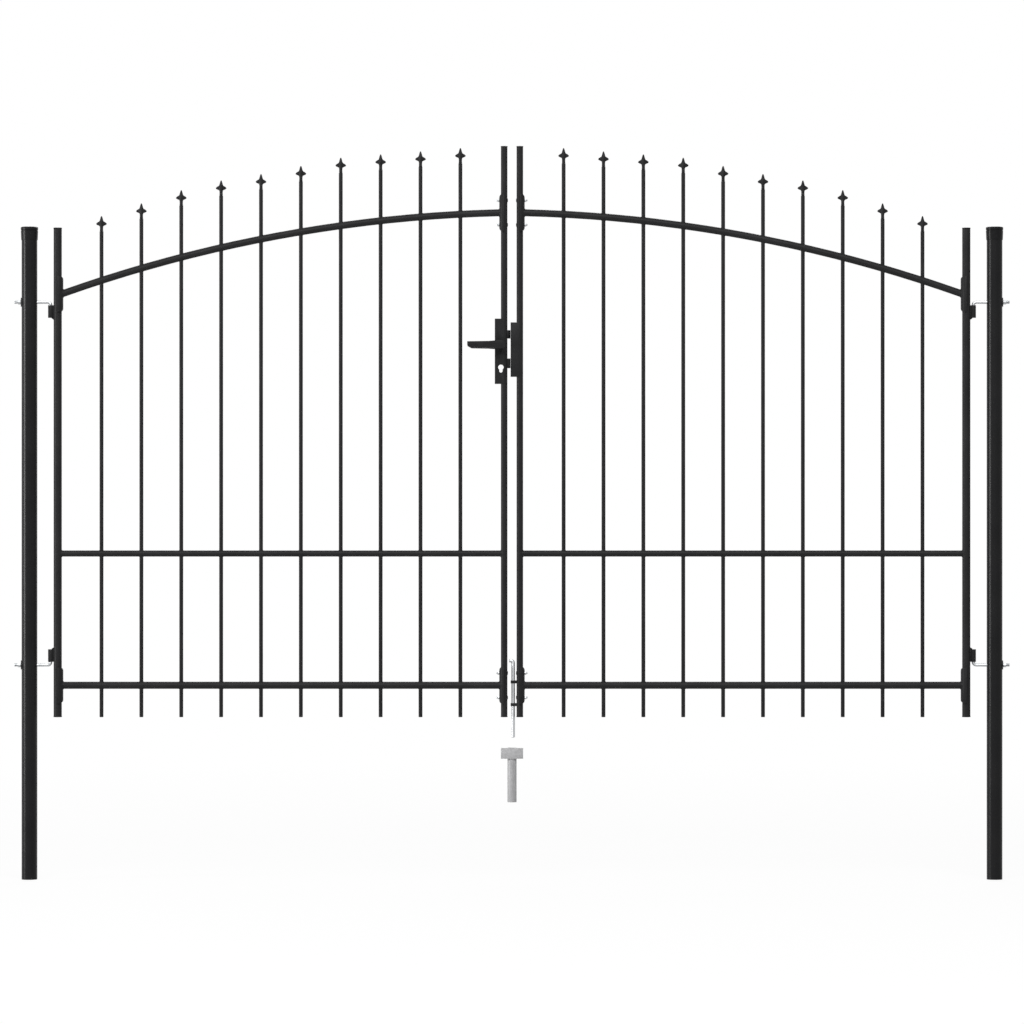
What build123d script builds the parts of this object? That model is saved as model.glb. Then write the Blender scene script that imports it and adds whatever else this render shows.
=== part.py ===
from build123d import *
import math
import os

os.makedirs("parts", exist_ok=True)

# Double leaf garden gate of round steel tube, between two round posts.
# Millimetres. X runs along the gate from the left post to the right one, Y runs into the property, Z is up.
# The origin is the middle of the left post's foot. Heights named rise are above the underside of the
# leaves, whose outer stiles end just below the tops of the posts.

# Posts
post_length = 2000.0
post_diameter = 48.0
post_wall = 1.5
post_foot_thickness = 3.0
post_above_stile = 3.0

# Post caps
post_cap_height = 41.0
post_cap_crown = 3.0
post_cap_shoulder_diameter = 53.5
post_cap_rim_diameter = 50.8
post_cap_clearance = 0.2
post_cap_chamfer = 3.0

# Places along the gate
hinge_offset = 65.0
hinge_to_stile = 21.6
leaf_width = 1368.2
meeting_distance = 48.0

# Leaf frame
outer_stile_length = 1500.0
inner_stile_extra = 250.0
outer_stile_diameter = 25.0
inner_stile_diameter = 20.0
stile_wall = 1.2
bottom_rail_diameter = 22.0
bottom_rail_rise = 97.6
mid_rail_diameter = 19.0
mid_rail_rise = 501.4
arch_rail_diameter = 22.0
arch_radius = 4320.0
arch_above_stile = 47.1
arch_centre_beyond = 69.3

# Bars and spear heads. Each tip stands this far above the arched rail, from the outer bar to the inner one
bar_diameter = 12.0
bar_pitch = 122.2
bar_hole_clearance = 0.2
bar_hole_sides = 6
tip_rises = (197.5, 199.0, 206.0, 206.0, 199.5, 202.0, 208.5, 203.5, 201.0, 203.0)
spear_height = 47.0
spear_point_width = 2.0
spear_spike_width = 10.5
spear_spike_length = 17.0
spear_shoulder_width = 19.4
spear_shoulder_drop = 18.0
spear_barb_width = 30.4
spear_barb_drop = 22.4
spear_barb_thickness = 2.0
spear_root_width = 14.0
spear_root_drop = 30.0
spear_neck_width = 8.4
spear_neck_drop = 35.0
spear_collar_height = 3.0
spear_foot_width = 11.0
spear_thickness = 9.0

# End caps of the stiles
stile_cap_flange = 3.0
stile_cap_proud = 0.7
stile_cap_spigot = 14.0
stile_cap_clearance = 0.1

# Saddles round the stiles
outer_saddle_thickness = 4.6
outer_saddle_length = 110.0
inner_saddle_thickness = 5.0
inner_saddle_length = 115.0
saddle_corner = 12.0

# Hinges
bottom_hook_rise = 160.0
top_hook_drop = 228.4
hook_diameter = 10.0
hook_bend_radius = 9.0
hook_hole_clearance = 0.2
hook_thread_reach = 22.0
pin_clearance = 0.2
pin_recess = 2.0
barrel_diameter = 16.0
barrel_length = 38.3
barrel_gap = 0.5
hinge_link_thickness = 8.0
hinge_gusset = 6.0
hinge_washer_diameter = 28.0
hinge_washer_thickness = 2.5
hinge_nut_flats = 17.0
hinge_nut_height = 8.4

# Lock on the left leaf and keep on the right leaf
lock_rise = 1021.2
lock_height = 199.7
lock_width = 28.7
lock_depth = 22.0
lock_wall = 1.5
lock_backset = 10.0
keyhole_rise = 1072.0
keyhole_diameter = 17.0
keyhole_slot_width = 10.0
keyhole_height = 33.0
keep_rise = 1042.9
keep_height = 166.5
keep_width = 28.3
bolt_thickness = 9.0
bolt_clearance = 0.4
bolt_tip_gap = 0.4
latch_rise = 1173.0
latch_height = 25.7
latch_travel = 8.9
latch_bevel = 6.0
latch_bevel_land = 2.0
dead_bolt_rise = 1084.2
dead_bolt_height = 29.7
dead_bolt_draw = 9.0
dead_bolt_tail_height = 14.0

# Lever handle, one lever on each face of the lock
handle_rise = 1141.0
handle_length = 102.8
handle_tip_height = 18.8
handle_waist_height = 20.8
handle_waist_reach = 38.0
handle_hub_diameter = 26.6
handle_thickness = 9.0
handle_neck_diameter = 16.0
handle_neck_length = 25.0
handle_tip_cut_width = 12.5
handle_tip_cut_height = 7.0
handle_face_gap = 0.3
spindle_side = 8.0
spindle_clearance = 0.5

# Drop bolt on the right leaf
drop_bolt_diameter = 11.0
drop_bolt_offset = 20.5
drop_bolt_bottom_drop = 62.4
drop_bolt_top_rise = 178.5
drop_bolt_handle_reach = 12.0
drop_bolt_bend_radius = 7.0
drop_bolt_end_chamfer = 1.5
drop_bolt_clearance = 0.3
guide_wall = 1.9
guide_height = 9.0
upper_guide_rise = 108.0
lower_guide_rise = 38.4

# Ground socket
socket_top_drop = 94.0
socket_diameter = 28.0
socket_wall = 1.5
socket_length = 166.4
socket_plate_width = 68.0
socket_plate_height = 32.8
socket_plate_thickness = 4.2

# Values worked out from the driving dimensions
post_radius = post_diameter / 2
outer_radius = outer_stile_diameter / 2
inner_radius = inner_stile_diameter / 2
bar_radius = bar_diameter / 2
hook_radius = hook_diameter / 2
outer_x = hinge_offset + hinge_to_stile
inner_x = outer_x + leaf_width
centre_x = inner_x + meeting_distance / 2
right_inner_x = inner_x + meeting_distance
leaf_bottom = post_length - post_above_stile - outer_stile_length
inner_stile_length = outer_stile_length + inner_stile_extra
bar_count = len(tip_rises)
first_bar_x = outer_x + (leaf_width - (bar_count - 1) * bar_pitch) / 2
bottom_rail_z = leaf_bottom + bottom_rail_rise
mid_rail_z = leaf_bottom + mid_rail_rise
arch_centre_x = centre_x + arch_centre_beyond
arch_apex_z = leaf_bottom + outer_stile_length + arch_above_stile
arch_centre_z = arch_apex_z - arch_radius
top_hook_z = leaf_bottom + outer_stile_length - top_hook_drop
bottom_hook_z = leaf_bottom + bottom_hook_rise
lock_axis_x = inner_x - lock_backset
handle_z = leaf_bottom + handle_rise
latch_z = leaf_bottom + latch_rise
dead_bolt_z = leaf_bottom + dead_bolt_rise
keep_face_x = right_inner_x - keep_width
bolt_tip_x = keep_face_x - bolt_tip_gap
drop_bolt_x = right_inner_x - drop_bolt_offset
drop_bolt_low_z = leaf_bottom - drop_bolt_bottom_drop

mirror_plane = Plane(origin=(centre_x, 0, 0), x_dir=(0, 1, 0), z_dir=(1, 0, 0))
stand = (Align.CENTER, Align.CENTER, Align.MIN)


def rod_z(radius, x, z_low, z_high):
    return Pos(x, 0, z_low) * Cylinder(radius, z_high - z_low, align=stand)


def rod_x(radius, x_low, x_high, z):
    return Pos(x_low, 0, z) * Rot(0, 90, 0) * Cylinder(radius, x_high - x_low, align=stand)


def rod_y(radius, x, z, half_length):
    return Pos(x, 0, z) * Rot(90, 0, 0) * Cylinder(radius, 2 * half_length)


def block(x_low, x_high, half_y, z_low, z_high):
    middle = Pos((x_low + x_high) / 2, 0, (z_low + z_high) / 2)
    return middle * Box(x_high - x_low, 2 * half_y, z_high - z_low)


def tube_z(radius, wall, x, z_low, z_high):
    return rod_z(radius, x, z_low, z_high) - rod_z(radius - wall, x, z_low, z_high)


def hex_nut(flats, height, bore_radius, x_low, z):
    outline = RegularPolygon(flats / 2, 6, major_radius=False) - Circle(bore_radius)
    return Pos(x_low, 0, z) * Rot(0, 90, 0) * extrude(outline, height)


# A quarter of a ring to the right of its middle, above it where side is 1 and below it where side is -1
def quarter_bend(radius, bend_radius, x, z, side):
    ring = revolve(Pos(bend_radius, 0, 0) * Circle(radius), Axis.Y, revolution_arc=90)
    return Pos(x, 0, z) * Rot(0, -90 if side > 0 else 0, 0) * ring


def arch_z(x):
    return arch_centre_z + math.sqrt(arch_radius**2 - (x - arch_centre_x) ** 2)


def arch_angle(x):
    return math.degrees(math.asin((x - arch_centre_x) / arch_radius))


# Posts and what is fixed to them
def make_post():
    top = post_length - post_cap_crown
    post = rod_z(post_radius, 0, 0, top)
    post -= rod_z(post_radius - post_wall, 0, post_foot_thickness, top)
    for z in (bottom_hook_z, top_hook_z):
        post -= rod_x(hook_radius + hook_hole_clearance, -post_diameter, post_diameter, z)
    return post


def make_post_cap():
    rim = post_cap_rim_diameter / 2
    shoulder = post_cap_shoulder_diameter / 2
    inside = post_radius + post_cap_clearance
    half_profile = Polyline(
        (0, 0),
        (shoulder - post_cap_chamfer, 0),
        (shoulder, -post_cap_chamfer),
        (rim, -post_cap_height),
        (inside, -post_cap_height),
        (inside, -post_cap_crown),
        (0, -post_cap_crown),
        close=True,
    )
    return Pos(0, 0, post_length) * revolve(Plane.XZ * make_face(half_profile), Axis.Z)


def make_hook_bolt(z, pin_side):
    start = -(post_radius + hook_thread_reach)
    bend_x = hinge_offset - hook_bend_radius
    bend_z = z + pin_side * hook_bend_radius
    pin_end = bend_z + pin_side * (barrel_gap + barrel_length - pin_recess)
    shank = rod_x(hook_radius, start, bend_x, z)
    pin = rod_z(hook_radius, hinge_offset, min(bend_z, pin_end), max(bend_z, pin_end))
    return shank + quarter_bend(hook_radius, hook_bend_radius, bend_x, bend_z, -pin_side) + pin


def make_hinge_washer(z):
    outside = post_radius + hinge_washer_thickness
    shell = tube_z(outside, hinge_washer_thickness, 0, z - post_radius, z + post_radius)
    disc = rod_x(hinge_washer_diameter / 2, -post_diameter, 0, z)
    hole = rod_x(hook_radius + hook_hole_clearance, -post_diameter, 0, z)
    return (shell & disc) - hole


def make_hinge_nut(z):
    seat = -(post_radius + hinge_washer_thickness)
    return hex_nut(hinge_nut_flats, hinge_nut_height, hook_radius, seat - hinge_nut_height, z)


def make_ground_socket():
    top = leaf_bottom - socket_top_drop
    bottom = top - socket_length
    radius = socket_diameter / 2
    bore = rod_z(radius - socket_wall, centre_x, bottom, top)
    plate_middle_y = -(radius - socket_wall + socket_plate_thickness / 2)
    plate = Box(socket_plate_width, socket_plate_thickness, socket_plate_height)
    plate = Pos(centre_x, plate_middle_y, top - socket_plate_height / 2) * plate
    return rod_z(radius, centre_x, bottom, top) + plate - bore


# Leaf frame, drawn for the left leaf
def make_outer_stile():
    low = leaf_bottom + stile_cap_flange
    high = leaf_bottom + outer_stile_length - stile_cap_flange
    return tube_z(outer_radius, stile_wall, outer_x, low, high)


def make_inner_stile():
    low = leaf_bottom + stile_cap_flange
    high = leaf_bottom + inner_stile_length - stile_cap_flange
    return tube_z(inner_radius, stile_wall, inner_x, low, high)


def make_stile_cap(radius, x, z_end, side):
    flange_end = z_end - side * stile_cap_flange
    spigot_end = flange_end - side * stile_cap_spigot
    flange = rod_z(radius + stile_cap_proud, x, min(z_end, flange_end), max(z_end, flange_end))
    spigot_radius = radius - stile_wall - stile_cap_clearance
    return flange + rod_z(spigot_radius, x, min(flange_end, spigot_end), max(flange_end, spigot_end))


def make_stile_caps():
    caps = []
    for radius, x, length in (
        (outer_radius, outer_x, outer_stile_length),
        (inner_radius, inner_x, inner_stile_length),
    ):
        caps.append(make_stile_cap(radius, x, leaf_bottom + length, 1))
        caps.append(make_stile_cap(radius, x, leaf_bottom, -1))
    return caps


def bar_places():
    return [first_bar_x + index * bar_pitch for index in range(bar_count)]


def bar_bores(z_low, z_high):
    outline = RegularPolygon(bar_radius + bar_hole_clearance, bar_hole_sides, major_radius=False)
    return [Pos(x, 0, z_low) * extrude(outline, z_high - z_low) for x in bar_places()]


def make_straight_rail(diameter, z, outer_seat, inner_seat):
    low = z - diameter
    high = z + diameter
    ends = [rod_z(outer_seat, outer_x, low, high), rod_z(inner_seat, inner_x, low, high)]
    return rod_x(diameter / 2, outer_x, inner_x, z) - (ends + bar_bores(low, high))


def arch_rod(radius):
    start_angle = arch_angle(outer_x)
    tangent = (math.cos(math.radians(start_angle)), 0, -math.sin(math.radians(start_angle)))
    section = Plane(origin=(outer_x, 0, arch_z(outer_x)), x_dir=(0, 1, 0), z_dir=tangent)
    arch_axis = Axis((arch_centre_x, 0, arch_centre_z), (0, 1, 0))
    return revolve(section * Circle(radius), arch_axis, revolution_arc=arch_angle(inner_x) - start_angle)


def make_arch_rail():
    low = arch_z(outer_x) - arch_rail_diameter
    high = arch_apex_z + arch_rail_diameter
    ends = [
        rod_z(outer_radius + outer_saddle_thickness, outer_x, low, high),
        rod_z(inner_radius + inner_saddle_thickness, inner_x, low, high),
    ]
    return arch_rod(arch_rail_diameter / 2) - (ends + bar_bores(low, high))


def tip_z(index):
    return arch_z(bar_places()[index]) + tip_rises[index]


def make_bars():
    bars = []
    for index, x in enumerate(bar_places()):
        bars.append(rod_z(bar_radius, x, leaf_bottom, tip_z(index) - spear_height))
    return bars


# A spear head with its tip at the origin, as the space common to its front, side and top outlines
def make_spear_head():
    collar_top = -spear_height + spear_collar_height
    half_front = [
        (spear_point_width / 2, 0),
        (spear_spike_width / 2, -spear_spike_length),
        (spear_shoulder_width / 2, -spear_shoulder_drop),
        (spear_barb_width / 2, -spear_barb_drop),
        (spear_root_width / 2, -spear_root_drop),
        (spear_neck_width / 2, -spear_neck_drop),
        (spear_neck_width / 2, collar_top),
        (spear_foot_width / 2, -spear_height),
    ]
    front = make_face(Polyline(half_front + [(-x, z) for x, z in reversed(half_front)], close=True))
    half_side = [
        (spear_point_width / 2, 0),
        (spear_thickness / 2, -spear_barb_drop),
        (spear_thickness / 2, -spear_height),
    ]
    side = make_face(Polyline(half_side + [(-y, z) for y, z in reversed(half_side)], close=True))
    half_top = [
        (-spear_barb_width / 2, spear_barb_thickness / 2),
        (0, spear_thickness / 2),
        (spear_barb_width / 2, spear_barb_thickness / 2),
    ]
    top = make_face(Polyline(half_top + [(x, -y) for x, y in reversed(half_top)], close=True))
    head = extrude(Plane.XZ * front, spear_thickness, both=True)
    head &= extrude(Plane.YZ * side, spear_barb_width, both=True)
    return head & Pos(0, 0, -spear_height) * extrude(top, spear_height)


def make_spear_heads():
    head = make_spear_head()
    return [Pos(x, 0, tip_z(index)) * head for index, x in enumerate(bar_places())]


# Saddles, drawn on the rail's side of a stile
def make_saddle(radius, thickness, length, x, z, side):
    reach = radius + thickness
    shell = tube_z(reach, thickness, x, z - length / 2, z + length / 2)
    shell &= Pos(x + side * reach, 0, z) * Box(2 * reach, 2 * reach, length)
    corner = min(saddle_corner, reach * 0.9)
    corners = Rectangle(2 * reach, 2 * length) - RectangleRounded(2 * reach, length, corner)
    return shell - Pos(x, 0, z) * extrude(Plane.XZ * corners, reach, both=True)


def make_outer_saddles():
    saddles = []
    for z in (bottom_rail_z, arch_z(outer_x + outer_radius)):
        saddle = make_saddle(outer_radius, outer_saddle_thickness, outer_saddle_length, outer_x, z, 1)
        saddles.append(saddle)
    return saddles


def make_inner_saddles():
    saddles = []
    for z in (bottom_rail_z, arch_z(inner_x)):
        saddle = make_saddle(inner_radius, inner_saddle_thickness, inner_saddle_length, inner_x, z, -1)
        saddles.append(saddle)
    return saddles


# Hinge barrels, each with a link to the stile
def make_hinge_barrel(hook_z, side):
    near = hook_z + side * (hook_bend_radius + barrel_gap)
    far = near + side * barrel_length
    low = min(near, far)
    high = max(near, far)
    barrel = rod_z(barrel_diameter / 2, hinge_offset, low, high)
    link_outline = Polyline(
        (hinge_offset, near),
        (outer_x, near),
        (outer_x, far + side * hinge_gusset),
        (outer_x - outer_radius, far + side * hinge_gusset),
        (hinge_offset, far),
        close=True,
    )
    link = extrude(Plane.XZ * make_face(link_outline), hinge_link_thickness / 2, both=True)
    low_end = low - hinge_gusset
    high_end = high + hinge_gusset
    link -= rod_z(outer_radius, outer_x, low_end, high_end)
    return barrel + link - rod_z(hook_radius + pin_clearance, hinge_offset, low_end, high_end)


# Lock case, with the cuts that it shares with the stile
def lock_cuts():
    keyhole_z = leaf_bottom + keyhole_rise
    half_slot = keyhole_slot_width / 2
    slot_end_z = keyhole_z + keyhole_diameter / 2 - keyhole_height + half_slot
    cuts = rod_y(keyhole_diameter / 2, lock_axis_x, keyhole_z, lock_depth)
    cuts += rod_y(half_slot, lock_axis_x, slot_end_z, lock_depth)
    cuts += block(lock_axis_x - half_slot, lock_axis_x + half_slot, lock_depth, slot_end_z, keyhole_z)
    spindle_reach = spindle_side / math.sqrt(2) + spindle_clearance
    return cuts + rod_y(spindle_reach, lock_axis_x, handle_z, lock_depth)


def bolt_slots(x_low, x_high):
    slots = []
    for middle, height in ((latch_z, latch_height), (dead_bolt_z, dead_bolt_height)):
        half_height = height / 2 + bolt_clearance
        half_y = bolt_thickness / 2 + bolt_clearance
        slots.append(block(x_low, x_high, half_y, middle - half_height, middle + half_height))
    return slots


def hollow_box(x_low, x_high, z_low, z_high):
    shell = block(x_low, x_high, lock_depth / 2, z_low, z_high)
    return shell - block(
        x_low + lock_wall,
        x_high - lock_wall,
        lock_depth / 2 - lock_wall,
        z_low + lock_wall,
        z_high - lock_wall,
    )


def make_lock_case():
    low = leaf_bottom + lock_rise
    case = hollow_box(inner_x - lock_width, inner_x + inner_radius, low, low + lock_height)
    case &= block(inner_x - lock_width, inner_x, lock_depth, low, low + lock_height)
    case -= rod_z(inner_radius, inner_x, low, low + lock_height)
    return case - lock_cuts()


def make_keep_box():
    low = leaf_bottom + keep_rise
    box = hollow_box(keep_face_x, right_inner_x + inner_radius, low, low + keep_height)
    box &= block(keep_face_x, right_inner_x, lock_depth, low, low + keep_height)
    box -= rod_z(inner_radius, right_inner_x, low, low + keep_height)
    for slot in bolt_slots(keep_face_x - lock_wall, keep_face_x + 2 * lock_wall):
        box -= slot
    return box


def cut_stile_for_lock(stile):
    for slot in bolt_slots(inner_x - inner_stile_diameter, inner_x + inner_stile_diameter):
        stile -= slot
    return stile - lock_cuts()


def make_latch_bolt():
    tail = inner_x - lock_width + lock_wall + latch_travel + bolt_clearance
    low = latch_z - latch_height / 2
    bolt = block(tail, bolt_tip_x, bolt_thickness / 2, low, low + latch_height)
    half_y = bolt_thickness / 2
    bevel = Polyline(
        (bolt_tip_x - latch_bevel, -half_y),
        (bolt_tip_x, -half_y),
        (bolt_tip_x, half_y - latch_bevel_land),
        close=True,
    )
    return bolt - Pos(0, 0, low) * extrude(make_face(bevel), latch_height)


def make_dead_bolt():
    low = dead_bolt_z - dead_bolt_height / 2
    high = low + dead_bolt_height
    head_start = lock_axis_x + keyhole_diameter / 2 + dead_bolt_draw + bolt_clearance
    head = block(head_start, bolt_tip_x, bolt_thickness / 2, low, high)
    tail_start = inner_x - lock_width + lock_wall + dead_bolt_draw + bolt_clearance
    tail = block(tail_start, head_start, bolt_thickness / 2, high - dead_bolt_tail_height, high)
    return head + tail


# Lever handle
def make_lever(side):
    hub = handle_hub_diameter / 2
    waist = handle_waist_height / 2
    half_tip = handle_tip_height / 2
    tip = -handle_length
    blade = Polyline(
        (0, hub),
        (-handle_waist_reach, waist),
        (tip, half_tip),
        (tip, -half_tip + handle_tip_cut_height),
        (tip + handle_tip_cut_width, -half_tip),
        (-handle_waist_reach, -waist),
        (0, -hub),
        close=True,
    )
    outline = make_face(blade) + Circle(hub)
    lever = extrude(Plane.XZ * outline, handle_thickness / 2, both=True)
    face_y = lock_depth / 2 + handle_face_gap
    lever = Pos(0, side * (face_y + handle_neck_length + handle_thickness / 2), 0) * lever
    neck = Rot(90, 0, 0) * Cylinder(handle_neck_diameter / 2, handle_neck_length)
    return lever + Pos(0, side * (face_y + handle_neck_length / 2), 0) * neck


def make_handle():
    spindle_length = lock_depth + 2 * handle_face_gap
    handle = make_lever(-1) + make_lever(1) + Box(spindle_side, spindle_length, spindle_side)
    return Pos(lock_axis_x, 0, handle_z) * handle


# Drop bolt and its guides on the right leaf's inner stile
def make_drop_bolt():
    radius = drop_bolt_diameter / 2
    bend_x = drop_bolt_x - drop_bolt_bend_radius
    bend_z = leaf_bottom + drop_bolt_top_rise - radius - drop_bolt_bend_radius
    rod = rod_z(radius, drop_bolt_x, drop_bolt_low_z, bend_z)
    rod = chamfer(rod.edges().filter_by(GeomType.CIRCLE).sort_by(Axis.Z)[0], drop_bolt_end_chamfer)
    bend = quarter_bend(radius, drop_bolt_bend_radius, bend_x, bend_z, 1)
    end = rod_x(radius, drop_bolt_x - drop_bolt_handle_reach, bend_x, bend_z + drop_bolt_bend_radius)
    return rod + bend + end


def make_drop_bolt_guides():
    hole = drop_bolt_diameter / 2 + drop_bolt_clearance
    nose = hole + guide_wall
    guides = []
    for rise in (lower_guide_rise, upper_guide_rise):
        z = leaf_bottom + rise
        low = z - guide_height / 2
        high = z + guide_height / 2
        guide = rod_z(nose, drop_bolt_x, low, high) + block(drop_bolt_x, right_inner_x, nose, low, high)
        guide -= rod_z(inner_radius, right_inner_x, low, high)
        guides.append(guide - rod_z(hole, drop_bolt_x, low, high))
    return guides


def make_leaf():
    inner_seat = inner_radius + inner_saddle_thickness
    outer_seat = outer_radius + outer_saddle_thickness
    return {
        "outer_stile": [make_outer_stile()],
        "inner_stile": [make_inner_stile()],
        "arch_rail": [make_arch_rail()],
        "mid_rail": [make_straight_rail(mid_rail_diameter, mid_rail_z, outer_radius, inner_radius)],
        "bottom_rail": [make_straight_rail(bottom_rail_diameter, bottom_rail_z, outer_seat, inner_seat)],
        "bars": make_bars(),
        "spear_heads": make_spear_heads(),
        "stile_caps": make_stile_caps(),
        "outer_saddles": make_outer_saddles(),
        "inner_saddles": make_inner_saddles(),
        "hinge_barrels": [make_hinge_barrel(bottom_hook_z, 1), make_hinge_barrel(top_hook_z, -1)],
    }


def make_post_set():
    return {
        "post": [make_post()],
        "post_cap": [make_post_cap()],
        "bottom_hook_bolt": [make_hook_bolt(bottom_hook_z, 1)],
        "top_hook_bolt": [make_hook_bolt(top_hook_z, -1)],
        "hinge_washers": [make_hinge_washer(z) for z in (bottom_hook_z, top_hook_z)],
        "hinge_nuts": [make_hinge_nut(z) for z in (bottom_hook_z, top_hook_z)],
    }


def build_nodes():
    nodes = {}
    for name, solids in {**make_post_set(), **make_leaf()}.items():
        nodes["left_" + name] = solids
        nodes["right_" + name] = [mirror(solid, about=mirror_plane) for solid in solids]
    nodes["left_inner_stile"] = [cut_stile_for_lock(stile) for stile in nodes["left_inner_stile"]]
    nodes["lock_case"] = [make_lock_case()]
    nodes["keep_box"] = [make_keep_box()]
    nodes["latch_bolt"] = [make_latch_bolt()]
    nodes["dead_bolt"] = [make_dead_bolt()]
    nodes["lever_handle"] = [make_handle()]
    nodes["drop_bolt"] = [make_drop_bolt()]
    nodes["drop_bolt_guides"] = make_drop_bolt_guides()
    nodes["ground_socket"] = [make_ground_socket()]
    return nodes


for node_name, node_solids in build_nodes().items():
    solids = [solid for shape in node_solids for solid in shape.solids()]
    export_step(Compound(children=solids), f"parts/{node_name}.step")
    print(node_name, len(solids), round(sum(solid.volume for solid in solids)))
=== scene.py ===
import bpy
import math
from mathutils import Matrix, Vector


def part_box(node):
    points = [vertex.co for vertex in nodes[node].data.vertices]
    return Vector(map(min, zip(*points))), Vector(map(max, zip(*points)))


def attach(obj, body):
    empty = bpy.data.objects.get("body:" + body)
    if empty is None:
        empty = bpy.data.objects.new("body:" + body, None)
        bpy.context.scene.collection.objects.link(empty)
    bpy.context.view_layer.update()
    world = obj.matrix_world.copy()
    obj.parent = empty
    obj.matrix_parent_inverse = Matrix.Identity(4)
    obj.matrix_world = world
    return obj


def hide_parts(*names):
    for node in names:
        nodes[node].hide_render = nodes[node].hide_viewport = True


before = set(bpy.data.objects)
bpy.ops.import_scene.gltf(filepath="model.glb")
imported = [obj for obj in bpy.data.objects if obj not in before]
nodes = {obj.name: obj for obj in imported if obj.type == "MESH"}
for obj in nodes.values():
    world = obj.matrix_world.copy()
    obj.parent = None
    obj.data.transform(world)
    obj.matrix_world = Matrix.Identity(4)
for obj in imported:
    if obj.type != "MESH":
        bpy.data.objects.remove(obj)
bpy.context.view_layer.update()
bpy.ops.object.select_all(action="DESELECT")
mm = 0.001
upward = Vector((0, 0, 1))
rightward = Vector((1, 0, 0))
print("frame loaded,", len(nodes), "nodes")


# places read from the frame, in metres
leftPost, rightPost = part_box("left_post"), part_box("right_post")
centreX = (leftPost[0].x + rightPost[1].x) / 2
outerStile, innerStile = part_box("left_outer_stile"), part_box("left_inner_stile")
outerX = (outerStile[0].x + outerStile[1].x) / 2
outerRadius = (outerStile[1].x - outerStile[0].x) / 2
innerX = (innerStile[0].x + innerStile[1].x) / 2
innerRadius = (innerStile[1].x - innerStile[0].x) / 2
bottomRail, midRail, archRail = (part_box("left_" + rail) for rail in ("bottom_rail", "mid_rail", "arch_rail"))
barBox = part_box("left_bars")
barCount = 10
barRadius = (barBox[1].y - barBox[0].y) / 2
barPitch = (barBox[1].x - barBox[0].x - 2 * barRadius) / (barCount - 1)
barPlaces = [barBox[0].x + barRadius + index * barPitch for index in range(barCount)]

# middle line of the left leaf's arched rail, a circle whose middle is a little past the gate's middle
arch = {"radius": 4320 * mm, "beyondMiddle": 69.3 * mm, "apexHeight": 2044.1 * mm}


def archHeight(x):
    along = x - centreX - arch["beyondMiddle"]
    return arch["apexHeight"] - arch["radius"] + math.sqrt(arch["radius"] ** 2 - along ** 2)


def archSlope(x):
    along = x - centreX - arch["beyondMiddle"]
    return -along / math.sqrt(arch["radius"] ** 2 - along ** 2)


def topAt(nodeName, x, reach):
    # the highest point of a node near that place along the gate
    return max(v.co.z for v in nodes[nodeName].data.vertices if abs(v.co.x - x) < reach)


# finishes
postCoat = {"dark": (0.0065, 0.0065, 0.007), "light": (0.0095, 0.0095, 0.01), "patchScale": 9,
            "specular": 0.10, "roughness": (0.26, 0.31), "roughScale": 40,
            "bumpScale": 900, "bumpHeight": 0.00005}
leafCoat = {"dark": (0.0125, 0.0125, 0.013), "light": (0.0175, 0.0175, 0.018), "patchScale": 12,
            "specular": 0.07, "roughness": (0.40, 0.48), "roughScale": 60,
            "bumpScale": 1100, "bumpHeight": 0.00005}
castCoat = {"dark": (0.009, 0.009, 0.0095), "light": (0.018, 0.018, 0.0185), "patchScale": 90,
            "specular": 0.09, "roughness": (0.42, 0.58), "roughScale": 260,
            "bumpScale": 700, "bumpHeight": 0.00016}
leverCoat = {"dark": (0.009, 0.009, 0.0095), "light": (0.013, 0.013, 0.0135), "patchScale": 60,
             "specular": 0.10, "roughness": (0.34, 0.44), "roughScale": 120,
             "bumpScale": 1400, "bumpHeight": 0.00003}
capPlastic = {"dark": (0.0055, 0.0055, 0.006), "light": (0.008, 0.008, 0.0085), "patchScale": 120,
              "specular": 0.09, "roughness": (0.26, 0.34), "roughScale": 500,
              "bumpScale": 2600, "bumpHeight": 0.00004}
zincPlate = {"dark": (0.37, 0.38, 0.39), "light": (0.54, 0.55, 0.56), "patchScale": 110,
             "specular": 0.5, "roughness": (0.36, 0.48), "roughScale": 240,
             "bumpScale": 1800, "bumpHeight": 0.00003,
             "metallic": 1.0, "stretch": (1.0, 1.0, 0.12)}
galvanised = {"dark": (0.315, 0.315, 0.32), "light": (0.345, 0.345, 0.35), "patchScale": 140,
              "specular": 0.2, "roughness": (0.48, 0.60), "roughScale": 180,
              "bumpScale": 700, "bumpHeight": 0.00004,
              "metallic": 0.1, "spangle": True}


noiseRange = (0.3, 0.7)      # most of a noise pattern's values lie between these


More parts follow.
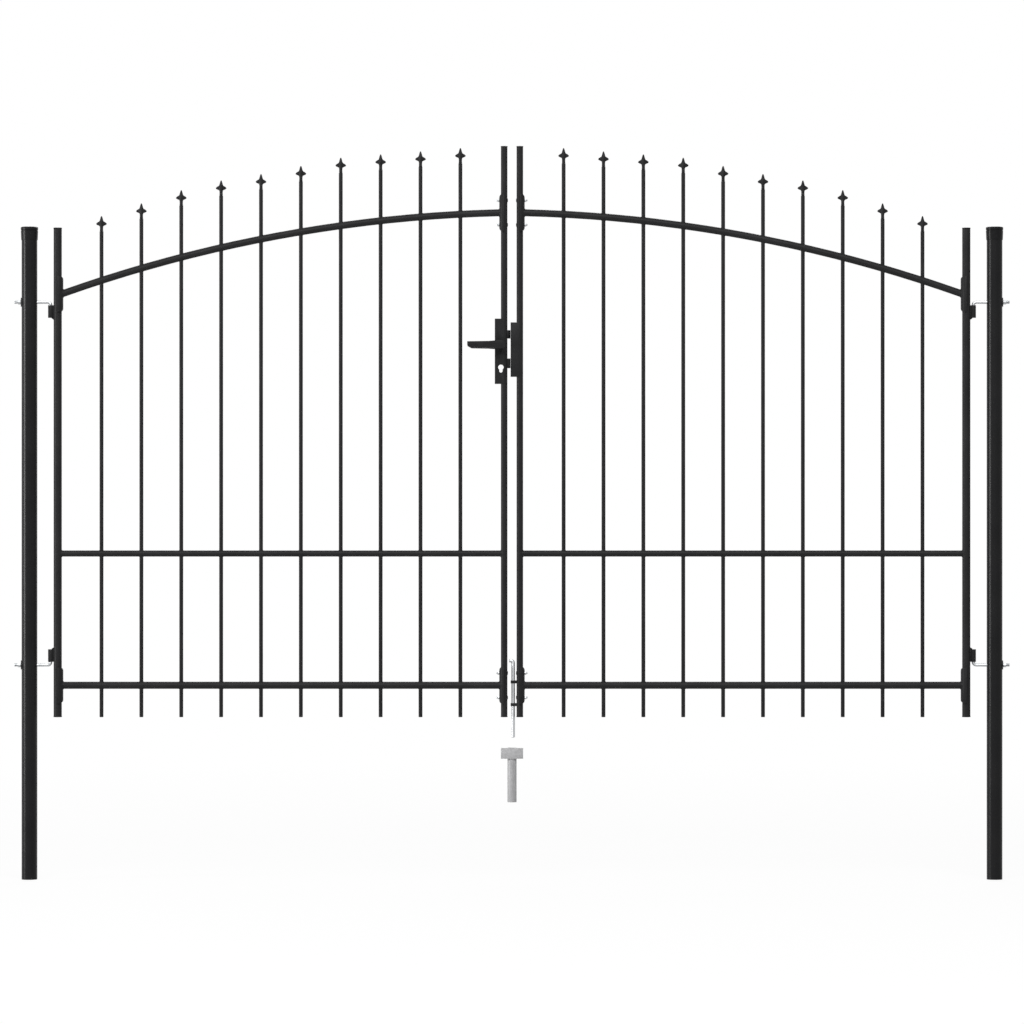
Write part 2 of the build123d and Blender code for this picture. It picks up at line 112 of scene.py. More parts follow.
def makeFinish(name, look):
    material = bpy.data.materials.new(name)
    material.use_nodes = True
    tree = material.node_tree
    shader = tree.nodes["Principled BSDF"]
    shader.inputs["Metallic"].default_value = look.get("metallic", 0.0)
    shader.inputs["Specular IOR Level"].default_value = look["specular"]
    place = tree.nodes.new("ShaderNodeTexCoord")
    stretch = tree.nodes.new("ShaderNodeMapping")
    stretch.inputs["Scale"].default_value = look.get("stretch", (1.0, 1.0, 1.0))
    tree.links.new(place.outputs["Object"], stretch.inputs["Vector"])
    if look.get("spangle"):      # crystals of the zinc bath
        patch = tree.nodes.new("ShaderNodeTexVoronoi")
        patchOutput = patch.outputs["Color"]
    else:
        patch = tree.nodes.new("ShaderNodeTexNoise")
        patch.inputs["Detail"].default_value = 5
        patchOutput = patch.outputs["Fac"]
    patch.inputs["Scale"].default_value = look["patchScale"]
    tree.links.new(stretch.outputs["Vector"], patch.inputs["Vector"])
    ramp = tree.nodes.new("ShaderNodeValToRGB")
    ramp.color_ramp.elements[0].position = noiseRange[0]
    ramp.color_ramp.elements[0].color = look["dark"] + (1,)
    ramp.color_ramp.elements[1].position = noiseRange[1]
    ramp.color_ramp.elements[1].color = look["light"] + (1,)
    tree.links.new(patchOutput, ramp.inputs["Fac"])
    tree.links.new(ramp.outputs["Color"], shader.inputs["Base Color"])
    mottle = tree.nodes.new("ShaderNodeTexNoise")
    mottle.inputs["Scale"].default_value = look["roughScale"]
    mottle.inputs["Detail"].default_value = 4
    tree.links.new(stretch.outputs["Vector"], mottle.inputs["Vector"])
    gloss = tree.nodes.new("ShaderNodeMapRange")
    gloss.inputs["From Min"].default_value = noiseRange[0]
    gloss.inputs["From Max"].default_value = noiseRange[1]
    gloss.inputs["To Min"].default_value = look["roughness"][0]
    gloss.inputs["To Max"].default_value = look["roughness"][1]
    tree.links.new(mottle.outputs["Fac"], gloss.inputs["Value"])
    tree.links.new(gloss.outputs["Result"], shader.inputs["Roughness"])
    peel = tree.nodes.new("ShaderNodeTexNoise")
    peel.inputs["Scale"].default_value = look["bumpScale"]
    peel.inputs["Detail"].default_value = 2
    tree.links.new(place.outputs["Object"], peel.inputs["Vector"])
    bump = tree.nodes.new("ShaderNodeBump")
    bump.inputs["Strength"].default_value = 1.0
    bump.inputs["Distance"].default_value = look["bumpHeight"]
    tree.links.new(peel.outputs["Fac"], bump.inputs["Height"])
    tree.links.new(bump.outputs["Normal"], shader.inputs["Normal"])
    return material


finishes = {
    "post": makeFinish("satin_post_coat", postCoat),
    "leaf": makeFinish("matte_leaf_coat", leafCoat),
    "cast": makeFinish("coated_casting", castCoat),
    "lever": makeFinish("lever_coat", leverCoat),
    "plastic": makeFinish("moulded_cap_plastic", capPlastic),
    "zinc": makeFinish("zinc_plate", zincPlate),
    "galvanised": makeFinish("galvanised_steel", galvanised),
}


def nodeFinish(name):
    if name.endswith(("_post", "hinge_washers")):
        return "post"
    if name.endswith(("post_cap", "stile_caps")):
        return "plastic"
    if name.endswith(("hook_bolt", "hinge_nuts", "drop_bolt")):
        return "zinc"
    if name.endswith("spear_heads"):
        return "cast"
    if name == "lever_handle":
        return "lever"
    if name == "ground_socket":
        return "galvanised"
    # the latch bolt and the dead bolt are zinc, yet fall through to the black leaf coat here as painted shade
    return "leaf"


for nodeName, node in nodes.items():
    node.data.materials.clear()
    node.data.materials.append(finishes[nodeFinish(nodeName)])
print("finishes on", len(nodes), "nodes")


# modelling helpers
def editMode():
    bpy.ops.object.mode_set(mode="EDIT")


def objectMode():
    bpy.ops.object.mode_set(mode="OBJECT")


def pickFaces(piece, wanted):
    # in edit mode, selects the faces that pass a test of their middle and normal
    bpy.ops.mesh.select_mode(type="FACE")
    bpy.ops.mesh.select_all(action="DESELECT")
    objectMode()
    for face in piece.data.polygons:
        face.select = bool(wanted(face.center, face.normal))
    editMode()


def onlySelected(piece):
    bpy.ops.object.select_all(action="DESELECT")
    piece.select_set(True)
    bpy.context.view_layer.objects.active = piece


def turned(name, start, axis, stations, around):
    # a turned piece, with a (distance, radius) station for each change of radius; its far end stays selected
    (firstAt, firstRadius), (nextAt, nextRadius) = stations[:2]
    bpy.ops.object.select_all(action="DESELECT")
    bpy.ops.mesh.primitive_cylinder_add(vertices=around, radius=firstRadius, depth=nextAt - firstAt,
                                        location=start + axis * (firstAt + nextAt) / 2,
                                        rotation=axis.to_track_quat("Z", "Y").to_euler())
    piece = bpy.context.object
    piece.name = name
    bpy.ops.object.transform_apply(location=True, rotation=True, scale=True)
    editMode()
    pickFaces(piece, lambda middle, normal: normal.dot(axis) > 0.99)
    resizeEnd(nextRadius / firstRadius, start + axis * nextAt)
    lastAt, lastRadius = nextAt, nextRadius
    for at, radius in stations[2:]:
        extendEnd(axis * (at - lastAt))
        resizeEnd(radius / lastRadius, start + axis * at)
        lastAt, lastRadius = at, radius
    return piece


def extendEnd(step):
    bpy.ops.mesh.extrude_region_move(TRANSFORM_OT_translate={"value": step})


def resizeEnd(factor, middle):
    if abs(factor - 1) > 1e-6:
        bpy.ops.transform.resize(value=(factor, factor, factor), center_override=middle)


def bendEnd(middle, degrees, steps):
    # carries the selected end round a middle, in the gate's own plane
    for step in range(steps):
        bpy.ops.mesh.extrude_region_move(TRANSFORM_OT_translate={"value": (0, 0, 0)})
        bpy.ops.transform.rotate(value=math.radians(degrees / steps), orient_axis="Y", orient_type="GLOBAL",
                                 center_override=middle)


def copyOf(piece, name, move=(0, 0, 0)):
    twin = bpy.data.objects.new(name, piece.data.copy())
    bpy.context.scene.collection.objects.link(twin)
    twin.data.transform(Matrix.Translation(move))
    return twin


def joined(pieces, name):
    bpy.ops.object.select_all(action="DESELECT")
    for piece in pieces:
        piece.select_set(True)
    bpy.context.view_layer.objects.active = pieces[0]
    if len(pieces) > 1:
        bpy.ops.object.join()
    pieces[0].name = name
    return pieces[0]


def mirrored(piece, name):
    # the right leaf's twin of a left piece
    twin = copyOf(piece, name)
    onlySelected(twin)
    twin.scale.x = -1
    twin.location.x = 2 * centreX
    bpy.ops.object.transform_apply(location=True, rotation=True, scale=True)
    closeUp(twin)
    return twin


def closeUp(piece):
    onlySelected(piece)
    editMode()
    bpy.ops.mesh.select_all(action="SELECT")
    bpy.ops.mesh.remove_doubles(threshold=0.002 * mm)
    bpy.ops.mesh.normals_make_consistent(inside=False)
    objectMode()


def addModifier(piece, kind, **settings):
    onlySelected(piece)
    modifier = piece.modifiers.new(kind.lower(), kind)
    for setting, value in settings.items():
        setattr(modifier, setting, value)
    bpy.ops.object.modifier_apply(modifier=modifier.name)


def handOver(piece, finish, body, *replaced, smooth=35):
    # the last step of every piece: finish, shading and the body that it rides on
    onlySelected(piece)
    piece.data.materials.clear()
    piece.data.materials.append(finishes[finish])
    for face in piece.data.polygons:
        face.material_index = 0
    bpy.ops.object.shade_smooth_by_angle(angle=math.radians(smooth))
    if replaced:
        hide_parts(*replaced)
    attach(piece, body)


def softened(nodeName, edge, steps):
    # a copy of a node with its sharp edges rounded over
    piece = bpy.data.objects.new(nodeName + "_softened", nodes[nodeName].data.copy())
    bpy.context.scene.collection.objects.link(piece)
    onlySelected(piece)
    editMode()
    bpy.ops.mesh.select_all(action="SELECT")
    bpy.ops.mesh.remove_doubles(threshold=0.01 * mm)
    bpy.ops.mesh.dissolve_limited(angle_limit=math.radians(1.0))
    objectMode()
    addModifier(piece, "BEVEL", width=edge, segments=steps, limit_method="ANGLE", angle_limit=math.radians(32),
                harden_normals=False, use_clamp_overlap=True)
    return piece


# bars, each a round bar with a rounded foot
barLook = {"around": 24, "footRound": 1.2 * mm, "bend": 0.3, "topRound": 0.8 * mm}


def makeBars():
    foot = barBox[0].z
    top = topAt("left_bars", barPlaces[0], barRadius)
    footRound, topRound = barLook["footRound"], barLook["topRound"]
    bend = barLook["bend"] * footRound
    stations = [(0, barRadius - footRound), (bend, barRadius - bend), (footRound, barRadius),
                (top - foot - topRound, barRadius), (top - foot, barRadius - topRound)]
    bar = turned("bar", Vector((barPlaces[0], 0, foot)), upward, stations, barLook["around"])
    objectMode()
    bars = [bar]
    for index in range(1, barCount):
        twin = copyOf(bar, "bar", (index * barPitch, 0, 0))
        rise = topAt("left_bars", barPlaces[index], barRadius) - top
        for vertex in twin.data.vertices:
            if vertex.co.z > (foot + top) / 2:
                vertex.co.z += rise
        bars.append(twin)
    leftBars = joined(bars, "left_round_bars")
    rightBars = mirrored(leftBars, "right_round_bars")
    handOver(leftBars, "leaf", "left_leaf", "left_bars")
    handOver(rightBars, "leaf", "right_leaf", "right_bars")


makeBars()
print("round bars done")


# spear heads, a turned spike with two barbs drawn out of its sides; sizes in mm, heights from the tip
spear = {"around": 12, "flank": (5.6, -23.0), "flankFacing": 0.8, "barbFrom": -30, "barbTo": -17,
         "stations": ((-47, 5.7), (-45.4, 5.7), (-44, 5.2), (-36, 5.1), (-30, 5.8), (-23.5, 6.3), (-17, 6.2),
                      (-8, 4.3), (-1.5, 2.1), (0, 1.0)),
         "shoulder": 4.6, "shoulderScale": (0.2, 0.72, 0.88),
         "barb": 6.0, "barbDrop": -1.0, "barbScale": (0.3, 0.34, 0.32)}


def makeSpearHeads():
    tip = Vector((barPlaces[0], 0, topAt("left_spear_heads", barPlaces[0], barRadius)))
    stations = [(at * mm, radius * mm) for at, radius in spear["stations"]]
    head = turned("spear", tip, upward, stations, spear["around"])
    flankX, flankZ = spear["flank"]
    for side in (-1, 1):
        def onFlank(middle, normal):
            inHeight = spear["barbFrom"] * mm < middle.z - tip.z < spear["barbTo"] * mm
            return inHeight and side * normal.x > spear["flankFacing"]
        pickFaces(head, onFlank)
        flank = tip + Vector((side * flankX, 0, flankZ)) * mm
        extendEnd((side * spear["shoulder"] * mm, 0, 0))
        shoulder = flank + Vector((side * spear["shoulder"] * mm, 0, 0))
        bpy.ops.transform.resize(value=spear["shoulderScale"], center_override=shoulder)
        extendEnd((side * spear["barb"] * mm, 0, spear["barbDrop"] * mm))
        barb = shoulder + Vector((side * spear["barb"] * mm, 0, spear["barbDrop"] * mm))
        bpy.ops.transform.resize(value=spear["barbScale"], center_override=barb)
    objectMode()
    addModifier(head, "SUBSURF", levels=1, render_levels=1)
    heads = [head]
    for index in range(1, barCount):
        rise = topAt("left_spear_heads", barPlaces[index], barRadius) - tip.z
        heads.append(copyOf(head, "spear", (index * barPitch, 0, rise)))
    leftHeads = joined(heads, "left_cast_spears")
    rightHeads = mirrored(leftHeads, "right_cast_spears")
    handOver(leftHeads, "cast", "left_leaf", "left_spear_heads", smooth=50)
    handOver(rightHeads, "cast", "right_leaf", "right_spear_heads", smooth=50)


makeSpearHeads()
print("spear heads done")


# plastic caps of the posts, with a groove below the shoulder and a crowned top; mm, heights from the top
postCap = {"around": 48, "wall": 1.2, "pocket": 37.5,
           "stations": ((-41, 25.0), (-40.4, 25.4), (-12.6, 26.4), (-12.0, 25.2), (-10.6, 25.2), (-10.0, 26.5),
                        (-4.2, 26.7), (-2.9, 26.5), (-1.7, 25.5), (-0.9, 24.0), (-0.35, 20.0), (-0.05, 10.0),
                        (0, 4.0))}


def makePostCaps():
    for side, postBox in (("left", leftPost), ("right", rightPost)):
        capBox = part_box(side + "_post_cap")
        top = Vector(((postBox[0].x + postBox[1].x) / 2, 0, capBox[1].z))
        stations = [(at * mm, radius * mm) for at, radius in postCap["stations"]]
        cap = turned(side + "_crowned_cap", top, upward, stations, postCap["around"])
        pickFaces(cap, lambda middle, normal: normal.z < -0.99)
        bpy.ops.mesh.inset(thickness=postCap["wall"] * mm)
        extendEnd((0, 0, postCap["pocket"] * mm))      # the post's own end sits in this pocket
        objectMode()
        handOver(cap, "plastic", "posts", side + "_post_cap", smooth=30)


makePostCaps()
print("post caps done")


# plastic plugs in the ends of the stiles; the edge has shares of the flange and mm inwards
stilePlug = {"around": 32, "flange": 3.0 * mm, "proud": 0.7 * mm,
             "edge": ((0, 0), (0.55, 0), (0.8, 0.35), (0.95, 1.2), (1, 4.0))}


def makeStilePlugs():
    plugs = []
    for x, radius, box in ((outerX, outerRadius, outerStile), (innerX, innerRadius, innerStile)):
        wide = radius + stilePlug["proud"]
        stations = [(share * stilePlug["flange"], wide - inwards * mm) for share, inwards in stilePlug["edge"]]
        for end, axis in ((box[1].z, upward), (box[0].z, -upward)):
            plugs.append(turned("plug", Vector((x, 0, end)), axis, stations, stilePlug["around"]))
            objectMode()
    leftPlugs = joined(plugs, "left_stile_plugs")
    rightPlugs = mirrored(leftPlugs, "right_stile_plugs")
    handOver(leftPlugs, "plastic", "left_leaf", "left_stile_caps")
    handOver(rightPlugs, "plastic", "right_leaf", "right_stile_caps")


makeStilePlugs()
print("stile plugs done")


# hook bolts, threaded where they stand out of the post and bent up or down into the hinge pin; sizes in mm
hook = {"around": 24, "threadPitch": 1.5, "threads": 7, "crest": 4.95, "root": 4.35, "radius": 5.0,
        "bendRadius": 9.0, "bendSteps": 8, "pinRound": 0.8}
thread = {"leadIn": 0.5, "leadInset": 0.3, "crestFrom": 0.45, "crestTo": 0.6}      # mm, then shares of a pitch


def threadStations(sizes):
    # rings in place of a helix, from a chamfered end at 0
    crest, root, pitch = sizes["crest"], sizes["root"], sizes["threadPitch"]
    stations = [(0, root - thread["leadInset"]), (thread["leadIn"], root)]
    for turn in range(sizes["threads"]):
        at = thread["leadIn"] + turn * pitch
        stations += [(at + thread["crestFrom"] * pitch, crest), (at + thread["crestTo"] * pitch, crest),
                     (at + pitch, root)]
    return [(at * mm, radius * mm) for at, radius in stations]


def makeHookBolts():
    for level, turn in (("bottom", 1), ("top", -1)):
        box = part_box(f"left_{level}_hook_bolt")
        radius = hook["radius"] * mm
        z = box[0].z + radius if turn > 0 else box[1].z - radius
        pinX = box[1].x - radius
        bendX = pinX - hook["bendRadius"] * mm
        stations = threadStations(hook)
        stations += [(stations[-1][0] + thread["leadIn"] * mm, radius), (bendX - box[0].x, radius)]
        start = Vector((box[0].x, 0, z))
        bolt = turned(f"left_{level}_hook", start, rightward, stations, hook["around"])
        bendMiddle = Vector((bendX, 0, z + turn * hook["bendRadius"] * mm))
        bendEnd(bendMiddle, 90 * turn, hook["bendSteps"])
        pinEnd = box[1].z if turn > 0 else box[0].z
        pinLength = abs(pinEnd - bendMiddle.z)
        pinRound = hook["pinRound"] * mm
        extendEnd((0, 0, turn * (pinLength - pinRound)))
        extendEnd((0, 0, turn * pinRound))
        resizeEnd(1 - pinRound / radius, Vector((pinX, 0, pinEnd)))
        objectMode()
        twin = mirrored(bolt, f"right_{level}_hook")
        handOver(bolt, "zinc", "posts", f"left_{level}_hook_bolt", smooth=40)
        handOver(twin, "zinc", "posts", f"right_{level}_hook_bolt", smooth=40)


makeHookBolts()
print("hook bolts done")


# hexagon nuts with chamfered corners, a flat side up
nutShape = {"chamfer": 0.45, "turn": 30}      # share of the corner's cut, and degrees from a corner to a flat


def makeNut(name, start, axis, flats, height, corner):
    point = flats / math.sqrt(3)
    chamfer = nutShape["chamfer"] * corner
    stations = [(0, point - corner), (chamfer, point), (height - chamfer, point), (height, point - corner)]
    nut = turned(name, start, axis, stations, 6)
    objectMode()
    flatUp = Matrix.Rotation(math.radians(nutShape["turn"]), 4, axis)
    nut.data.transform(Matrix.Translation(start) @ flatUp @ Matrix.Translation(-start))
    return nut


hingeNut = {"flats": 14.0 * mm, "corner": 0.9 * mm}


def makeHingeNuts():
    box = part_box("left_hinge_nuts")
    height = box[1].x - box[0].x
    nuts = []
    for level, turn in (("bottom", 1), ("top", -1)):
        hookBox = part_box(f"left_{level}_hook_bolt")
        z = hookBox[0].z + hook["radius"] * mm if turn > 0 else hookBox[1].z - hook["radius"] * mm
        start = Vector((box[0].x, 0, z))
        nuts.append(makeNut("nut", start, rightward, hingeNut["flats"], height, hingeNut["corner"]))
    leftNuts = joined(nuts, "left_chamfered_nuts")
    rightNuts = mirrored(leftNuts, "right_chamfered_nuts")
    handOver(leftNuts, "zinc", "posts", "left_hinge_nuts", smooth=25)
    handOver(rightNuts, "zinc", "posts", "right_hinge_nuts", smooth=25)


makeHingeNuts()
print("hinge nuts done")


# bolts of the inner saddles: a low black dome in the gap, a zinc nut and the bolt's end on the rail's side
saddleBolt = {"spread": 37.5 * mm, "around": 20,
              "domeHeight": 2.0 * mm, "domeRadius": 6.0 * mm, "domeSunk": 0.3 * mm,
              "dome": ((0, 1), (0.25, 1), (0.6, 0.93), (0.82, 0.75), (0.95, 0.48), (1.0, 0.2)),
              "nutFlats": 10.0 * mm, "nutHeight": 5.0 * mm, "nutCorner": 0.7 * mm, "endPast": 3.5 * mm,
              "threadPitch": 1.0, "threads": 3, "crest": 2.95, "root": 2.55}      # the thread's sizes in mm


def makeSaddleBolts():
    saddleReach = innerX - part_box("left_inner_saddles")[0].x
    domeX = innerX + innerRadius - saddleBolt["domeSunk"]
    nutX = innerX - saddleReach - saddleBolt["nutHeight"]
    endX = nutX - saddleBolt["endPast"]
    domeStations = [(share * saddleBolt["domeHeight"], wide * saddleBolt["domeRadius"])
                    for share, wide in saddleBolt["dome"]]
    endStations = threadStations(saddleBolt)
    domes, nuts = [], []
    for middle in ((bottomRail[0].z + bottomRail[1].z) / 2, archHeight(innerX)):
        for side in (-1, 1):
            z = middle + side * saddleBolt["spread"]
            domes.append(turned("dome", Vector((domeX, 0, z)), rightward, domeStations, saddleBolt["around"]))
            objectMode()
            nuts.append(makeNut("nut", Vector((nutX, 0, z)), rightward, saddleBolt["nutFlats"],
                                saddleBolt["nutHeight"], saddleBolt["nutCorner"]))
            nuts.append(turned("end", Vector((endX, 0, z)), rightward, endStations, saddleBolt["around"]))
            objectMode()
    for kind, parts, finish in (("domes", domes, "leaf"), ("nuts", nuts, "zinc")):
        leftSet = joined(parts, "left_saddle_" + kind)
        rightSet = mirrored(leftSet, "right_saddle_" + kind)
        handOver(leftSet, finish, "left_leaf", smooth=30)
        handOver(rightSet, finish, "right_leaf", smooth=30)


makeSaddleBolts()
print("saddle bolts done")


# plates, cases and barrels of the frame, with their sharp edges rounded over
softEdges = {
    "lock_case": (0.7 * mm, 2, "left_leaf"),
    "keep_box": (0.7 * mm, 2, "right_leaf"),
    "lever_handle": (1.1 * mm, 3, "handle"),
    # the zinc latch and dead bolts below take the black leaf coat as painted shade
    "latch_bolt": (0.5 * mm, 2, "latch"),
    "dead_bolt": (0.5 * mm, 2, "dead_bolt"),
    "ground_socket": (0.45 * mm, 2, "posts"),
    "drop_bolt_guides": (0.4 * mm, 2, "right_leaf"),
    "left_outer_saddles": (0.8 * mm, 2, "left_leaf"),
    "right_outer_saddles": (0.8 * mm, 2, "right_leaf"),
    "left_inner_saddles": (0.8 * mm, 2, "left_leaf"),
    "right_inner_saddles": (0.8 * mm, 2, "right_leaf"),
    "left_hinge_barrels": (0.6 * mm, 2, "left_leaf"),
    "right_hinge_barrels": (0.6 * mm, 2, "right_leaf"),
}

# the keyhole's slot ends at a height above the case's foot; the points round its end lie within the reach
keyhole = {"backset": 10.0 * mm, "slotEnd": 30.0 * mm, "reachUp": 2.2 * mm, "reachDown": 25.0 * mm,
           "halfWidth": 5.2 * mm, "shortenedBy": 8.0 * mm}


def shortenKeyhole(case):
    # in the photo the slot below the round hole ends higher than that of a standard cylinder
    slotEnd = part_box("lock_case")[0].z + keyhole["slotEnd"]
    for vertex in case.data.vertices:
        inSlot = abs(vertex.co.x - (innerX - keyhole["backset"])) < keyhole["halfWidth"]
        if inSlot and slotEnd - keyhole["reachDown"] < vertex.co.z < slotEnd + keyhole["reachUp"]:
            vertex.co.z += keyhole["shortenedBy"]


for nodeName, (edge, steps, body) in softEdges.items():
    piece = softened(nodeName, edge, steps)
    if nodeName == "lock_case":
        shortenKeyhole(piece)
    handOver(piece, nodeFinish(nodeName), body, nodeName, smooth=30)
print("edges rounded on", len(softEdges), "nodes")


# drop bolt, a bright rod with a bent top
dropBolt = {"around": 28, "endChamfer": 1.5 * mm, "bendRadius": 7.0 * mm, "bendSteps": 8, "endRound": 0.8 * mm}


def makeDropBolt():
    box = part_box("drop_bolt")
    radius = (box[1].y - box[0].y) / 2
    x = box[1].x - radius
    bendZ = box[1].z - radius - dropBolt["bendRadius"]
    chamfer = dropBolt["endChamfer"]
    length = bendZ - box[0].z
    stations = [(0, radius - chamfer), (chamfer, radius), (length, radius)]
    rod = turned("bent_drop_bolt", Vector((x, 0, box[0].z)), upward, stations, dropBolt["around"])
    bendMiddle = Vector((x - dropBolt["bendRadius"], 0, bendZ))
    bendEnd(bendMiddle, 90, dropBolt["bendSteps"])
    reach = bendMiddle.x - box[0].x
    extendEnd((-(reach - dropBolt["endRound"]), 0, 0))
    extendEnd((-dropBolt["endRound"], 0, 0))
    resizeEnd(1 - dropBolt["endRound"] / radius, Vector((box[0].x, 0, box[1].z - radius)))
    objectMode()
    handOver(rod, "zinc", "drop_bolt", "drop_bolt", smooth=40)


makeDropBolt()
print("drop bolt done")


# weld beads
weld = {"aroundBar": 16, "aroundRail": 28, "aroundBead": 6, "barThick": 1.15 * mm, "barGap": 0.2 * mm,
        "railThick": 1.7 * mm, "railGap": 0.3 * mm, "seatGap": 0.1 * mm,
        "barReach": 0.95, "railReach": 0.97}      # shares of a tube's radius that a ring follows it across
# a seam's start, ripple, end and out are shares of its step and thickness
seamLook = {"around": 8, "thick": 1.6 * mm, "step": 3.2 * mm, "back": 0.4 * mm, "out": 0.6, "half": 43 * mm,
            "start": 0.5, "ripple": ((0.35, 1.0), (0.95, 0.86)), "end": 0.4}


def ringAtBar(x, railRadius, railHeight, slope, side):
    # a bead round a bar, lying on the rail's top or underside
    bpy.ops.object.select_all(action="DESELECT")
    bpy.ops.mesh.primitive_torus_add(major_segments=weld["aroundBar"], minor_segments=weld["aroundBead"],
                                     location=(x, 0, railHeight), major_radius=barRadius + weld["barGap"],
                                     minor_radius=weld["barThick"])
    ring = bpy.context.object
    bpy.ops.object.transform_apply(location=True, rotation=True, scale=True)
    for vertex in ring.data.vertices:
        across = min(abs(vertex.co.y), railRadius * weld["barReach"])
        vertex.co.z += side * math.sqrt(railRadius ** 2 - across ** 2) + slope * (vertex.co.x - x)
    return ring


def ringAtStile(stileX, seatRadius, side, railRadius, railHeight, slope):
    # a bead round a rail's end, lying on the stile or its saddle
    bpy.ops.object.select_all(action="DESELECT")
    bpy.ops.mesh.primitive_torus_add(major_segments=weld["aroundRail"], minor_segments=weld["aroundBead"],
                                     location=(0, 0, 0), rotation=(0, math.radians(90), 0),
                                     major_radius=railRadius + weld["railGap"], minor_radius=weld["railThick"])
    ring = bpy.context.object
    bpy.ops.object.transform_apply(location=True, rotation=True, scale=True)
    tilt = math.atan(slope)
    for vertex in ring.data.vertices:
        along, y, out = vertex.co
        across = min(abs(y), seatRadius * weld["railReach"])
        seatX = stileX + side * (math.sqrt(seatRadius ** 2 - across ** 2) + weld["seatGap"])
        run = seatX - stileX + out * math.sin(tilt)
        vertex.co = (seatX + along, y, railHeight + out * math.cos(tilt) + slope * run)
    return ring


def seam(name, x, y, low, high):
    # a straight rippled bead along an upright edge
    thick = seamLook["thick"]
    count = round((high - low) / seamLook["step"])
    step = (high - low) / count
    stations = [(0, seamLook["start"] * thick)]
    for index in range(count):
        stations += [((index + along) * step, wide * thick) for along, wide in seamLook["ripple"]]
    stations.append((high - low, seamLook["end"] * thick))
    bead = turned(name, Vector((x, y, low)), upward, stations, seamLook["around"])
    objectMode()
    return bead


def makeWelds():
    bottomZ = (bottomRail[0].z + bottomRail[1].z) / 2
    midZ = (midRail[0].z + midRail[1].z) / 2
    bottomRadius = (bottomRail[1].z - bottomRail[0].z) / 2
    midRadius = (midRail[1].z - midRail[0].z) / 2
    archRadius = (archRail[1].y - archRail[0].y) / 2
    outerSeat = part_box("left_outer_saddles")[1].x - outerX
    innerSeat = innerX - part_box("left_inner_saddles")[0].x
    beads = []
    for x in barPlaces:
        for side in (-1, 1):
            beads.append(ringAtBar(x, bottomRadius, bottomZ, 0, side))
            beads.append(ringAtBar(x, midRadius, midZ, 0, side))
            beads.append(ringAtBar(x, archRadius, archHeight(x), archSlope(x), side))
    beads.append(ringAtStile(outerX, outerSeat, 1, bottomRadius, bottomZ, 0))
    beads.append(ringAtStile(innerX, innerSeat, -1, bottomRadius, bottomZ, 0))
    beads.append(ringAtStile(outerX, outerRadius, 1, midRadius, midZ, 0))
    beads.append(ringAtStile(innerX, innerRadius, -1, midRadius, midZ, 0))
    beads.append(ringAtStile(outerX, outerSeat, 1, archRadius, archHeight(outerX), archSlope(outerX)))
    beads.append(ringAtStile(innerX, innerSeat, -1, archRadius, archHeight(innerX), archSlope(innerX)))
    for middle in (bottomZ, archHeight(outerX + outerRadius)):
        for side in (-1, 1):
            y = side * (outerRadius + seamLook["out"] * seamLook["thick"])
            beads.append(seam("bead", outerX - seamLook["back"], y, middle - seamLook["half"],
                              middle + seamLook["half"]))
    leftWelds = joined(beads, "left_weld_beads")
    rightWelds = mirrored(leftWelds, "right_weld_beads")
    handOver(leftWelds, "leaf", "left_leaf", smooth=60)
    handOver(rightWelds, "leaf", "right_leaf", smooth=60)


makeWelds()
print("weld beads done")


# studio: white surround, soft lamps, pale floor and the camera
studio = {"surround": 0.14, "floorSize": 400.0, "floorColour": 0.86, "floorRoughness": 0.9, "floorGlow": 0.92,
          "glowNear": 2.2, "glowFar": 6.5, "cameraDistance": 14.0, "cameraHeight": 1.1256, "lens": 160.6,
          "sensor": 36.0, "viewEnd": 200.0, "lampsAimAt": 1.15}
softboxes = {
    "left_softbox": {"place": (centreX - 8.7, -2.4, 1.5), "size": (2.2, 3.4), "power": 560},
    "high_front_softbox": {"place": (centreX, -8.0, 8.0), "size": (9.0, 5.5), "power": 1150},
    "high_back_softbox": {"place": (centreX, 8.0, 8.0), "size": (6.0, 3.5), "power": 400},
}


def makeSoftbox(name, box):
    lamp = bpy.data.lights.new(name, "AREA")
    lamp.shape = "RECTANGLE"
    lamp.size, lamp.size_y = box["size"]
    lamp.energy = box["power"]
    softbox = bpy.data.objects.new(name, lamp)
    bpy.context.scene.collection.objects.link(softbox)
    softbox.location = box["place"]
    aim = Vector((centreX, 0, studio["lampsAimAt"])) - softbox.location
    softbox.rotation_euler = aim.to_track_quat("-Z", "Y").to_euler()


def seenDirectly(tree):
    # 1 where a ray comes from the camera, a reflection or a clear material
    rays = tree.nodes.new("ShaderNodeLightPath")
    first = tree.nodes.new("ShaderNodeMath")
    first.operation = "MAXIMUM"
    second = tree.nodes.new("ShaderNodeMath")
    second.operation = "MAXIMUM"
    tree.links.new(rays.outputs["Is Camera Ray"], first.inputs[0])
    tree.links.new(rays.outputs["Is Glossy Ray"], first.inputs[1])
    tree.links.new(first.outputs[0], second.inputs[0])
    tree.links.new(rays.outputs["Is Transmission Ray"], second.inputs[1])
    return second.outputs[0]


def makeSurround():
    world = bpy.data.worlds.new("studio")
    bpy.context.scene.world = world
    world.use_nodes = True
    tree = world.node_tree
    tree.nodes.clear()
    plain = tree.nodes.new("ShaderNodeBackground")
    plain.inputs["Color"].default_value = (1, 1, 1, 1)
    plain.inputs["Strength"].default_value = studio["surround"]
    white = tree.nodes.new("ShaderNodeBackground")
    white.inputs["Color"].default_value = (1, 1, 1, 1)
    white.inputs["Strength"].default_value = 1.0
    mix = tree.nodes.new("ShaderNodeMixShader")
    output = tree.nodes.new("ShaderNodeOutputWorld")
    tree.links.new(seenDirectly(tree), mix.inputs["Fac"])
    tree.links.new(plain.outputs[0], mix.inputs[1])
    tree.links.new(white.outputs[0], mix.inputs[2])
    tree.links.new(mix.outputs[0], output.inputs["Surface"])


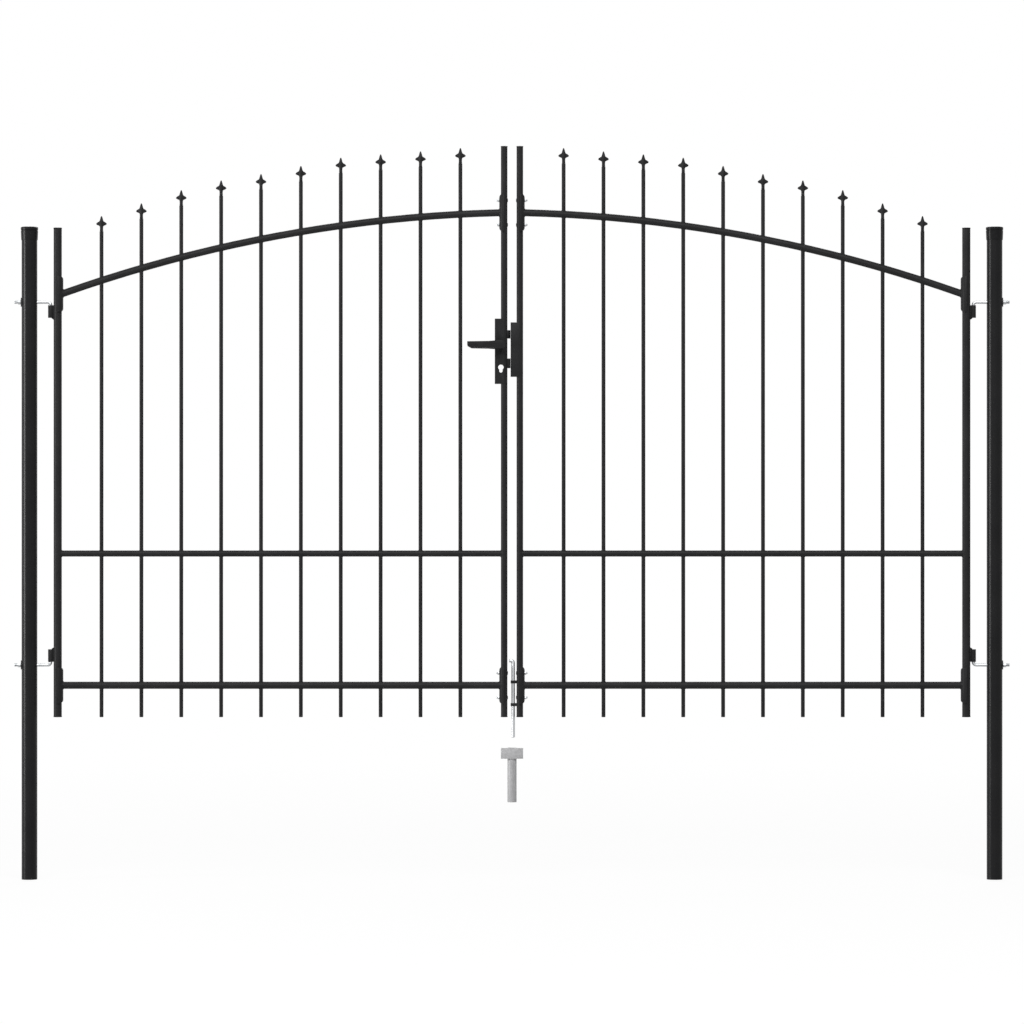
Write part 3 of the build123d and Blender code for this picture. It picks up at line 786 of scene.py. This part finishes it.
def makeFloor():
    bpy.ops.object.select_all(action="DESELECT")
    bpy.ops.mesh.primitive_plane_add(size=studio["floorSize"], location=(centreX, 0, 0))
    floor = bpy.context.object
    floor.name = "pale_floor"
    bpy.ops.object.transform_apply(location=True, rotation=True, scale=True)
    material = bpy.data.materials.new("pale_floor")
    material.use_nodes = True
    tree = material.node_tree
    shader = tree.nodes["Principled BSDF"]
    shader.inputs["Base Color"].default_value = (studio["floorColour"],) * 3 + (1,)
    shader.inputs["Roughness"].default_value = studio["floorRoughness"]
    shader.inputs["Specular IOR Level"].default_value = 0.0
    glow = tree.nodes.new("ShaderNodeEmission")
    glow.inputs["Color"].default_value = (1, 1, 1, 1)
    share = tree.nodes.new("ShaderNodeMath")
    share.operation = "MULTIPLY"
    place = tree.nodes.new("ShaderNodeTexCoord")
    away = tree.nodes.new("ShaderNodeVectorMath")
    away.operation = "DISTANCE"
    away.inputs[1].default_value = (centreX, 0, 0)
    fade = tree.nodes.new("ShaderNodeMapRange")      # plain white away from the gate and its shadow
    fade.inputs["From Min"].default_value = studio["glowNear"]
    fade.inputs["From Max"].default_value = studio["glowFar"]
    fade.inputs["To Min"].default_value = studio["floorGlow"]
    fade.inputs["To Max"].default_value = 1.0
    tree.links.new(place.outputs["Object"], away.inputs[0])
    tree.links.new(away.outputs["Value"], fade.inputs["Value"])
    tree.links.new(fade.outputs["Result"], share.inputs[1])
    mix = tree.nodes.new("ShaderNodeMixShader")
    tree.links.new(seenDirectly(tree), share.inputs[0])
    tree.links.new(share.outputs[0], mix.inputs["Fac"])
    tree.links.new(shader.outputs[0], mix.inputs[1])
    tree.links.new(glow.outputs[0], mix.inputs[2])
    tree.links.new(mix.outputs[0], tree.nodes["Material Output"].inputs["Surface"])
    floor.data.materials.append(material)


def makeCamera():
    view = bpy.data.cameras.new("photo_view")
    view.lens = studio["lens"]
    view.sensor_width = studio["sensor"]
    view.clip_end = studio["viewEnd"]
    camera = bpy.data.objects.new("photo_view", view)
    bpy.context.scene.collection.objects.link(camera)
    camera.location = (centreX, -studio["cameraDistance"], studio["cameraHeight"])
    camera.rotation_euler = (math.radians(90), 0, 0)
    bpy.context.scene.camera = camera


makeSurround()
makeFloor()
makeCamera()
for name, box in softboxes.items():
    makeSoftbox(name, box)
bpy.context.scene.view_settings.view_transform = "Standard"
print("studio done")
